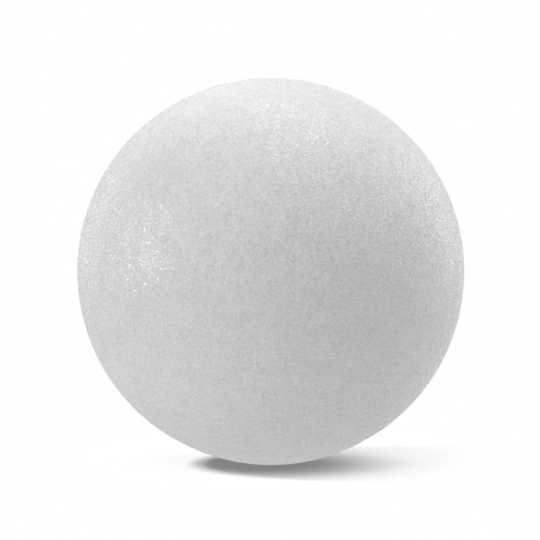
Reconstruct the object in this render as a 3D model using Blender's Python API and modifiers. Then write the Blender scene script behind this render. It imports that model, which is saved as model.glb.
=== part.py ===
"""Solid craft ball of moulded polystyrene foam, in metres, +Z up, with its centre at the origin.

The ball comes out of its mould in one piece. It is a true sphere, with no flat to stand on.
"""

import math

import bmesh
import bpy

INCH = 0.0254

# Driving dimension: such a ball is sold by its diameter in inches.
BALL_DIAMETER = 9.6 * INCH

# Facets of the turned surface, over equal angles both ways, so that those at the equator are square.
FACETS_ROUND = 80
FACETS_POLE_TO_POLE = FACETS_ROUND // 2

# White foam seen under soft light: a matt skin of small fused beads.
FOAM_COLOUR = (0.8, 0.8, 0.81, 1.0)
FOAM_ROUGHNESS = 0.62
FOAM_METALLIC = 0.0


def clear_scene():
    """Starts from an empty scene."""
    for scene_object in list(bpy.data.objects):
        bpy.data.objects.remove(scene_object, do_unlink=True)


def collection_named(name):
    """A new collection in the scene."""
    collection = bpy.data.collections.new(name)
    bpy.context.scene.collection.children.link(collection)
    return collection


def foam_material():
    """The white foam of the ball."""
    material = bpy.data.materials.new("bead_foam")
    material.use_nodes = True
    shader = material.node_tree.nodes["Principled BSDF"]
    shader.inputs["Base Color"].default_value = FOAM_COLOUR
    shader.inputs["Roughness"].default_value = FOAM_ROUGHNESS
    shader.inputs["Metallic"].default_value = FOAM_METALLIC
    material.diffuse_color = FOAM_COLOUR
    return material


def half_circle_profile(name, radius, facets):
    """A mesh of one open half circle in the XZ plane, on the +X side, from the top pole down to the bottom."""
    profile = bmesh.new()
    points = []
    for step in range(facets + 1):
        angle_from_top = math.pi * step / facets
        on_a_pole = step in (0, facets)
        reach = 0.0 if on_a_pole else radius * math.sin(angle_from_top)
        points.append(profile.verts.new((reach, 0.0, radius * math.cos(angle_from_top))))
    for upper, lower in zip(points, points[1:]):
        profile.edges.new((upper, lower))
    mesh = bpy.data.meshes.new(name)
    profile.to_mesh(mesh)
    profile.free()
    return mesh


def turned_ball(collection):
    """The ball: its half circle turned a full round about Z and closed at both poles."""
    radius = BALL_DIAMETER / 2
    mesh = half_circle_profile("foam_ball", radius, FACETS_POLE_TO_POLE)
    mesh.materials.append(foam_material())
    ball = bpy.data.objects.new("foam_ball", mesh)
    collection.objects.link(ball)

    facet_length = math.pi * radius / FACETS_POLE_TO_POLE
    turning = ball.modifiers.new("turning", "SCREW")
    turning.axis = "Z"
    turning.angle = 2 * math.pi
    turning.steps = FACETS_ROUND
    turning.render_steps = FACETS_ROUND
    turning.use_merge_vertices = True
    turning.merge_threshold = facet_length / 1000
    turning.use_smooth_shade = True
    return ball


clear_scene()
turned_ball(collection_named("polystyrene_ball"))
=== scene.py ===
import math

import bpy
import numpy as np
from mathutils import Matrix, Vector


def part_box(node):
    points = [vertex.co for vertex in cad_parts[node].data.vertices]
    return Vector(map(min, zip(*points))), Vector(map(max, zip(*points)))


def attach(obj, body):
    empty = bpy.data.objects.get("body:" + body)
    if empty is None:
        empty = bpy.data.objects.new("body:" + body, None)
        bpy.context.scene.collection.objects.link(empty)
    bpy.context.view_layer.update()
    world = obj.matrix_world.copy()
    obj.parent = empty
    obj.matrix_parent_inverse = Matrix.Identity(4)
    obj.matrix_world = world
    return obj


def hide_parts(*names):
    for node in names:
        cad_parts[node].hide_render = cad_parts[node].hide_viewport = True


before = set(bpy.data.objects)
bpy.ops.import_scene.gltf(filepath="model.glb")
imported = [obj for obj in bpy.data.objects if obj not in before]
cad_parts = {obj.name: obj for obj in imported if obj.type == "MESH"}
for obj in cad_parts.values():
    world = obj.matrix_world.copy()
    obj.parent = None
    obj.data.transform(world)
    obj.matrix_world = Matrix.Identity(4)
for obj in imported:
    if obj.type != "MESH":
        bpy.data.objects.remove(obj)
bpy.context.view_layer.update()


# The ball is one solid moulding of expanded polystyrene, a true sphere. Steam fuses its beads inside the
# mould, and the mould's wall leaves each bead of the skin as a low dome with a fine crease round it.
# The skin is matt, apart from fine flecks of smooth film, which glint.
BALL_NODE = "foam_ball"
NET_DIVISIONS = 4
NET_CUTS = 6
BEAD_SHUFFLE = 0.0009
SHUFFLES = 5
SETTLING = 0.5
CREASE_DEPTH = 0.00016
CREASE_DEPTH_SPREAD = 0.00008
CROWN_SPREAD = 0.00004
TONE_LIMIT = 2.5
BEAD_SEED = 96

ball_low, ball_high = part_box(BALL_NODE)
ball_radius = (ball_high.z - ball_low.z) / 2
seeded = np.random.default_rng(BEAD_SEED)


def set_radii(mesh, radii):
    """Moves each vertex straight out or in, to its own distance from the ball's centre."""
    places = np.empty(len(mesh.vertices) * 3, np.float32)
    mesh.vertices.foreach_get("co", places)
    places = places.reshape(-1, 3).astype(float)
    places *= (radii / np.linalg.norm(places, axis=1))[:, None]
    mesh.vertices.foreach_set("co", places.astype(np.float32).ravel())
    mesh.update()


def in_edit_mode(operator, **settings):
    """Runs one edit-mode operator on the whole of the active mesh."""
    bpy.ops.object.mode_set(mode="EDIT")
    bpy.ops.mesh.select_all(action="SELECT")
    operator(**settings)
    bpy.ops.object.mode_set(mode="OBJECT")


def join_neighbours(net):
    """Brings the middles of the beads back onto the sphere and joins each one to those now nearest to it."""
    set_radii(net.data, ball_radius)
    in_edit_mode(bpy.ops.mesh.beautify_fill, angle_limit=math.pi)


def pack_beads():
    """A net of triangles over the sphere, with a vertex at the middle of each bead, packed at random."""
    bpy.ops.object.select_all(action="DESELECT")
    bpy.ops.mesh.primitive_ico_sphere_add(subdivisions=NET_DIVISIONS, radius=ball_radius)
    net = bpy.context.object
    in_edit_mode(bpy.ops.mesh.subdivide, number_cuts=NET_CUTS)
    for shuffle in range(SHUFFLES):
        in_edit_mode(bpy.ops.transform.vertex_random, offset=BEAD_SHUFFLE, seed=shuffle)
        join_neighbours(net)
    in_edit_mode(bpy.ops.mesh.vertices_smooth, factor=SETTLING)
    join_neighbours(net)
    return net


def outline_beads(net):
    """Turns the net into its dual: each bead is one polygon that meets its neighbours at the creases."""
    outlines = bpy.data.node_groups.new("bead_outlines", "GeometryNodeTree")
    outlines.interface.new_socket("Geometry", in_out="INPUT", socket_type="NodeSocketGeometry")
    outlines.interface.new_socket("Geometry", in_out="OUTPUT", socket_type="NodeSocketGeometry")
    arrives = outlines.nodes.new("NodeGroupInput")
    dual = outlines.nodes.new("GeometryNodeDualMesh")
    leaves = outlines.nodes.new("NodeGroupOutput")
    outlines.links.new(arrives.outputs[0], dual.inputs["Mesh"])
    outlines.links.new(dual.outputs["Dual Mesh"], leaves.inputs[0])
    outlining = net.modifiers.new("bead_outlines", "NODES")
    outlining.node_group = outlines
    bpy.ops.object.modifier_apply(modifier=outlining.name)
    bpy.data.node_groups.remove(outlines)


def raise_beads(skin, corner_count):
    """Sinks the corners of the creases by uneven amounts, and raises a crown in the middle of each bead."""
    in_edit_mode(bpy.ops.mesh.poke, center_mode="MEDIAN")
    crown_count = len(skin.data.vertices) - corner_count
    crease_depths = CREASE_DEPTH + CREASE_DEPTH_SPREAD * seeded.uniform(-1, 1, corner_count)
    crown_depths = CROWN_SPREAD * seeded.uniform(0, 1, crown_count)
    set_radii(skin.data, ball_radius - np.concatenate([crease_depths, crown_depths]))
    return crown_count


skin = pack_beads()
outline_beads(skin)
corner_count = len(skin.data.vertices)
bead_count = raise_beads(skin, corner_count)

# Each bead has a tone of its own, and its crown is told from its crease, for painted shade towards the
# crease.
triangle_corners = np.empty(len(skin.data.polygons) * 3, np.int32)
skin.data.polygons.foreach_get("vertices", triangle_corners)
bead_of_triangle = triangle_corners.reshape(-1, 3).max(axis=1) - corner_count
bead_tones = seeded.normal(0, 1, bead_count).clip(-TONE_LIMIT, TONE_LIMIT)
tone = skin.data.attributes.new("bead_tone", "FLOAT", "FACE")
tone.data.foreach_set("value", bead_tones[bead_of_triangle].astype(np.float32))
# The rise is 0 at the creases and 1 at the crowns. The colour uses it for painted shade towards the creases.
rise = skin.data.attributes.new("crease_shade_rise", "FLOAT", "POINT")
is_crown = np.arange(len(skin.data.vertices)) >= corner_count
rise.data.foreach_set("value", is_crown.astype(np.float32))

# Each dome is smooth, and the crease between two domes stays sharp.
edge_ends = np.empty(len(skin.data.edges) * 2, np.int32)
skin.data.edges.foreach_get("vertices", edge_ends)
is_crease = (edge_ends.reshape(-1, 2) < corner_count).all(axis=1)
skin.data.shade_smooth()
creases = skin.data.attributes.new("sharp_edge", "BOOLEAN", "EDGE")
creases.data.foreach_set("value", is_crease)
skin.name = "bead_skin"
skin.data.name = "bead_skin"


class Signal:
    """One output of a shader node, for use in plain expressions on numbers."""

    def __init__(self, tree, socket):
        self.tree = tree
        self.socket = socket

    @staticmethod
    def add_node(tree, kind, settings=None, inputs=None):
        """A shader node with its settings made first, and then the values or links of its sockets."""
        node = tree.nodes.new(kind)
        for name, value in (settings or {}).items():
            setattr(node, name, value)
        for name, value in (inputs or {}).items():
            if isinstance(value, Signal):
                tree.links.new(value.socket, node.inputs[name])
            elif isinstance(value, bpy.types.NodeSocket):
                tree.links.new(value, node.inputs[name])
            else:
                node.inputs[name].default_value = value
        return node

    def maths(self, operation, first, second):
        """One Math node on two values."""
        made = self.add_node(self.tree, "ShaderNodeMath", {"operation": operation}, {0: first, 1: second})
        return Signal(self.tree, made.outputs[0])

    def __add__(self, other):
        return self.maths("ADD", self, other)

    def __radd__(self, other):
        return self.maths("ADD", other, self)

    def __sub__(self, other):
        return self.maths("SUBTRACT", self, other)

    def __rsub__(self, other):
        return self.maths("SUBTRACT", other, self)

    def __mul__(self, other):
        return self.maths("MULTIPLY", self, other)

    def __rmul__(self, other):
        return self.maths("MULTIPLY", other, self)

    def __gt__(self, other):
        return self.maths("GREATER_THAN", self, other)


# Whiteness runs from the painted crease shade at 0 to the foam's at 1. A tone is how far its pattern moves
# it.
FOAM_WHITE = (0.902, 0.9, 0.916, 1.0)
# The colour of the painted shade in the creases.
CREASE_SHADE_WHITE = (0.66, 0.659, 0.68, 1.0)
USUAL_WHITENESS = 0.6
HALFWAY = 0.5
CREASE_SHADE_TONE = 0.3
BEAD_TONE = 0.04
MOTTLE_SCALE = 90.0
MOTTLE_ROUGHNESS = 0.5
MOTTLE_TONE = 0.4
GRAIN_SCALE = 560.0
GRAIN_ROUGHNESS = 0.6
GRAIN_TONE = 1.5
GRAIN_HEIGHT = 0.0002
PATCH_DETAIL = 2.0
FLECK_SCALE = 2100.0
FLECK_TILT = 0.48
MATT_ROUGHNESS = 0.85
FILM_ROUGHNESS = 0.08
FILM_SHARE = 0.4
FILM_INDEX = 1.59


def stored_on_skin(tree, name):
    """A number that the skin's mesh holds."""
    return Signal(tree, Signal.add_node(tree, "ShaderNodeAttribute", {"attribute_name": name}).outputs["Fac"])


def patches(tree, place, scale, roughness):
    """Soft random patches, on both sides of 0."""
    look = {"Vector": place, "Scale": scale, "Detail": PATCH_DETAIL, "Roughness": roughness}
    return Signal(tree, Signal.add_node(tree, "ShaderNodeTexNoise", {}, look).outputs["Fac"]) - HALFWAY


def vector_maths(tree, operation, *values):
    """The vector that one operation makes of vectors."""
    made = Signal.add_node(tree, "ShaderNodeVectorMath", {"operation": operation}, dict(enumerate(values)))
    return made.outputs["Vector"]


def foam_material():
    """White bead foam with painted shade towards its creases, a fine grain and tilted flecks, some of them
    filmed.
    """
    material = bpy.data.materials.new("bead_foam")
    material.use_nodes = True
    tree = material.node_tree
    tree.nodes.clear()
    place = Signal.add_node(tree, "ShaderNodeTexCoord").outputs["Object"]
    tone = stored_on_skin(tree, "bead_tone")
    rise = stored_on_skin(tree, "crease_shade_rise")
    mottling = patches(tree, place, MOTTLE_SCALE, MOTTLE_ROUGHNESS)
    graining = patches(tree, place, GRAIN_SCALE, GRAIN_ROUGHNESS)
    # Painted shade: each bead is lighter at its crown and darker towards its crease.
    crease_shading = rise - HALFWAY
    shade_and_tone = crease_shading * CREASE_SHADE_TONE + tone * BEAD_TONE + mottling * MOTTLE_TONE + graining * GRAIN_TONE
    colour = Signal.add_node(
        tree,
        "ShaderNodeMix",
        {"data_type": "RGBA", "clamp_factor": True},
        {"Factor": shade_and_tone + USUAL_WHITENESS, "A": CREASE_SHADE_WHITE, "B": FOAM_WHITE},
    )

    flecks = Signal.add_node(tree, "ShaderNodeTexVoronoi", {}, {"Vector": place, "Scale": FLECK_SCALE})
    drawn = Signal.add_node(tree, "ShaderNodeTexWhiteNoise", {}, {"Vector": flecks.outputs["Position"]})
    filmed = Signal(tree, drawn.outputs["Value"]) > 1 - FILM_SHARE
    roughness = MATT_ROUGHNESS - filmed * (MATT_ROUGHNESS - FILM_ROUGHNESS)
    bump = Signal.add_node(tree, "ShaderNodeBump", {}, {"Height": graining, "Distance": GRAIN_HEIGHT})
    lean = vector_maths(tree, "SUBTRACT", flecks.outputs["Color"], (HALFWAY, HALFWAY, HALFWAY))
    tilt = (FLECK_TILT, FLECK_TILT, FLECK_TILT)
    tilted = vector_maths(tree, "MULTIPLY_ADD", lean, tilt, bump.outputs["Normal"])
    shader = Signal.add_node(
        tree,
        "ShaderNodeBsdfPrincipled",
        {},
        {
            "Base Color": colour.outputs["Result"],
            "Roughness": roughness,
            "IOR": FILM_INDEX,
            "Normal": vector_maths(tree, "NORMALIZE", tilted),
        },
    )
    Signal.add_node(tree, "ShaderNodeOutputMaterial", {}, {"Surface": shader.outputs["BSDF"]})
    return material


skin.data.materials.append(foam_material())
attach(skin, "root")
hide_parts(BALL_NODE)


# The floor is a sheet of plain white paper that the ball stands on. It lights the ball as lit paper does,
# less so in the ball's own shade. To the camera it is paper that keeps the shadow and runs into a bare white
# background further off, and from below it isn't seen.
FLOOR_REACH = 1.5
FLOOR_SEEN = (0.43, 0.43, 0.43, 1.0)
FULL_WHITE = (1.0, 1.0, 1.0, 1.0)
GLOW_UNDER_BALL = 0.69
GLOW_AROUND = 0.87

# Each pair of ends is where a fade starts and where it is done, as distances from the ball's foot. Those of
# the shadow are from its own middle, with the floor squeezed across to fit the shadow's length.
SHADE_ENDS = (0.1, 0.22)
GLOW_ENDS = (0.35, 0.6)
SHADOW_ENDS = (0.09, 0.2)
SHADOW_MIDDLE = (0.025, 0.05, 0.0)
SHADOW_SQUEEZE = (1.4, 1.0, 1.0)


def seen_directly(tree):
    """1 for rays that show a surface, straight or in a reflection, and 0 for those that light things."""
    ray = Signal.add_node(tree, "ShaderNodeLightPath")
    reflected = Signal(tree, ray.outputs["Is Glossy Ray"]) + Signal(tree, ray.outputs["Is Transmission Ray"])
    return Signal(tree, ray.outputs["Is Camera Ray"]) + reflected


def mix_shaders(tree, factor, first, second):
    """One shader that runs from the first at a factor of 0 to the second at 1."""
    mixed = Signal.add_node(tree, "ShaderNodeMixShader", {}, {0: factor, 1: first, 2: second})
    return mixed.outputs["Shader"]


def glowing(tree, strength):
    """Plain white light of one strength, where 1 is white."""
    glow = Signal.add_node(tree, "ShaderNodeEmission", {}, {"Color": FULL_WHITE, "Strength": strength})
    return glow.outputs["Emission"]


def beyond(tree, distance, ends):
    """0 up to the first of two distances and 1 from the second, with a smooth rise in between."""
    smooth = {"interpolation_type": "SMOOTHSTEP"}
    limits = {"Value": distance, "From Min": ends[0], "From Max": ends[1]}
    return Signal.add_node(tree, "ShaderNodeMapRange", smooth, limits).outputs["Result"]


def floor_material():
    """White paper: its glow on the ball, its look in the ball's glints, and its look to the camera."""
    material = bpy.data.materials.new("floor_paper")
    material.use_nodes = True
    tree = material.node_tree
    tree.nodes.clear()
    place = Signal.add_node(tree, "ShaderNodeTexCoord").outputs["Object"]
    white = glowing(tree, 1.0)

    away = Signal.add_node(tree, "ShaderNodeVectorMath", {"operation": "LENGTH"}, {0: place}).outputs["Value"]
    shaded = beyond(tree, away, SHADE_ENDS)
    glow = mix_shaders(tree, shaded, glowing(tree, GLOW_UNDER_BALL), glowing(tree, GLOW_AROUND))
    far_off = beyond(tree, away, GLOW_ENDS)
    lighting = mix_shaders(tree, far_off, glow, glowing(tree, 0.0))
    reflected = mix_shaders(tree, far_off, glow, white)

    paper = Signal.add_node(tree, "ShaderNodeBsdfDiffuse", {}, {"Color": FLOOR_SEEN}).outputs["BSDF"]
    squeezed = vector_maths(tree, "MULTIPLY", place, SHADOW_SQUEEZE)
    ends = {0: squeezed, 1: SHADOW_MIDDLE}
    from_shadow = Signal.add_node(tree, "ShaderNodeVectorMath", {"operation": "DISTANCE"}, ends)
    pictured = mix_shaders(tree, beyond(tree, from_shadow.outputs["Value"], SHADOW_ENDS), paper, white)

    is_pictured = Signal.add_node(tree, "ShaderNodeLightPath").outputs["Is Camera Ray"]
    seen = mix_shaders(tree, is_pictured, reflected, pictured)
    from_above = mix_shaders(tree, seen_directly(tree), lighting, seen)
    is_below = Signal.add_node(tree, "ShaderNodeNewGeometry").outputs["Backfacing"]
    unseen = Signal.add_node(tree, "ShaderNodeBsdfTransparent").outputs["BSDF"]
    whole = mix_shaders(tree, is_below, from_above, unseen)
    Signal.add_node(tree, "ShaderNodeOutputMaterial", {}, {"Surface": whole})
    return material


bpy.ops.object.select_all(action="DESELECT")
bpy.ops.mesh.primitive_plane_add(size=2 * FLOOR_REACH, location=(0, 0, -ball_radius))
floor = bpy.context.object
floor.name = "floor"
floor.data.materials.append(floor_material())


# Soft studio light: seven large boxes, overhead and all round, light the ball. Three small lamps and two
# boxes behind its left and right edges show only in its sheen, and three more boxes light only the floor,
# for a compact shadow. The room beyond them is white to look at and gives no light of its own.
LAMP_DISTANCE = 1.2
BOX_DISTANCE = 1.8
BOX_SIZE = 1.6


def soft_box(name, direction, distance, size, power):
    """A square lamp that faces the ball's centre from a direction: right, away from the camera, up."""
    lamp = bpy.data.lights.new(name, "AREA")
    lamp.shape = "SQUARE"
    lamp.size = size
    lamp.energy = power
    lamp_object = bpy.data.objects.new(name, lamp)
    towards = Vector(direction).normalized()
    lamp_object.location = towards * distance
    lamp_object.rotation_euler = towards.to_track_quat("Z", "Y").to_euler()
    lamp_object.visible_camera = False
    bpy.context.scene.collection.objects.link(lamp_object)
    return lamp_object


soft_box("ceiling_box", (0.0, 0.0, 1.0), distance=LAMP_DISTANCE, size=1.2, power=2.9)
soft_box("front_left_low_box", (-0.85, -0.49, 0.17), distance=BOX_DISTANCE, size=BOX_SIZE, power=14.4)
soft_box("front_left_box", (-0.35, -0.61, 0.71), distance=BOX_DISTANCE, size=BOX_SIZE, power=9.8)
soft_box("front_right_box", (0.61, -0.35, 0.71), distance=BOX_DISTANCE, size=BOX_SIZE, power=11.4)
soft_box("rear_left_box", (-0.35, 0.61, 0.71), distance=BOX_DISTANCE, size=BOX_SIZE, power=8.3)
soft_box("rear_right_box", (0.61, 0.35, 0.71), distance=BOX_DISTANCE, size=BOX_SIZE, power=8.9)
soft_box("rear_right_low_box", (0.85, 0.49, 0.17), distance=BOX_DISTANCE, size=BOX_SIZE, power=6.5)

sheen_lamps = (
    soft_box("top_lamp", (0.13, 0.15, 0.98), distance=LAMP_DISTANCE, size=0.38, power=3.2),
    soft_box("left_lamp", (-0.97, -0.14, 0.22), distance=LAMP_DISTANCE, size=0.36, power=4.7),
    soft_box("rim_lamp", (0.65, 0.75, 0.13), distance=LAMP_DISTANCE, size=0.2, power=0.1),
    soft_box("left_edge_box", (-0.7, 0.7, 0.12), distance=BOX_DISTANCE, size=1.2, power=7.0),
    soft_box("right_edge_box", (0.7, 0.7, 0.05), distance=BOX_DISTANCE, size=1.2, power=3.6),
)
for lamp in sheen_lamps:
    lamp.visible_diffuse = False

shadow_lamps = (
    soft_box("left_floor_box", (-0.79, 0.0, 0.62), distance=BOX_DISTANCE, size=0.4, power=82.0),
    soft_box("right_floor_box", (0.74, -0.2, 0.64), distance=BOX_DISTANCE, size=1.8, power=54.0),
    soft_box("rear_floor_box", (0.56, 0.32, 0.77), distance=BOX_DISTANCE, size=1.4, power=25.5),
)
floor_only = bpy.data.collections.new("floor_only")
floor_only.objects.link(floor)
for lamp in shadow_lamps:
    lamp.light_linking.receiver_collection = floor_only

UNLIT = (0.0, 0.0, 0.0, 1.0)
world = bpy.data.worlds.new("studio")
world.use_nodes = True
studio = world.node_tree
studio.nodes.clear()
dark = Signal.add_node(studio, "ShaderNodeBackground", {}, {"Color": UNLIT}).outputs["Background"]
bright = Signal.add_node(studio, "ShaderNodeBackground", {}, {"Color": FULL_WHITE}).outputs["Background"]
around = mix_shaders(studio, seen_directly(studio), dark, bright)
Signal.add_node(studio, "ShaderNodeOutputWorld", {}, {"Surface": around})
bpy.context.scene.world = world


# The camera looks almost level from the front, through a long lens. The ball's centre and its radius fall
# on the same pixels as in the photograph.
PHOTO_SIDE = 540
BALL_CENTRE_PIXEL = (270.8, 271.4)
BALL_RADIUS_PIXELS = 193.6
CAMERA_DISTANCE = 2.4
CAMERA_ELEVATION = math.radians(3.4)
SENSOR_WIDTH = 36.0

camera_data = bpy.data.cameras.new("camera")
camera = bpy.data.objects.new("camera", camera_data)
bpy.context.scene.collection.objects.link(camera)
backwards = Vector((0, -math.cos(CAMERA_ELEVATION), math.sin(CAMERA_ELEVATION)))
camera.location = backwards * CAMERA_DISTANCE
camera.rotation_euler = backwards.to_track_quat("Z", "Y").to_euler()
outline_slope = math.tan(math.asin(ball_radius / CAMERA_DISTANCE))
camera_data.sensor_width = SENSOR_WIDTH
camera_data.lens = SENSOR_WIDTH * BALL_RADIUS_PIXELS / PHOTO_SIDE / outline_slope
camera_data.shift_x = (PHOTO_SIDE / 2 - BALL_CENTRE_PIXEL[0]) / PHOTO_SIDE
camera_data.shift_y = (BALL_CENTRE_PIXEL[1] - PHOTO_SIDE / 2) / PHOTO_SIDE
bpy.context.scene.camera = camera

bpy.context.scene.view_settings.view_transform = "Standard"
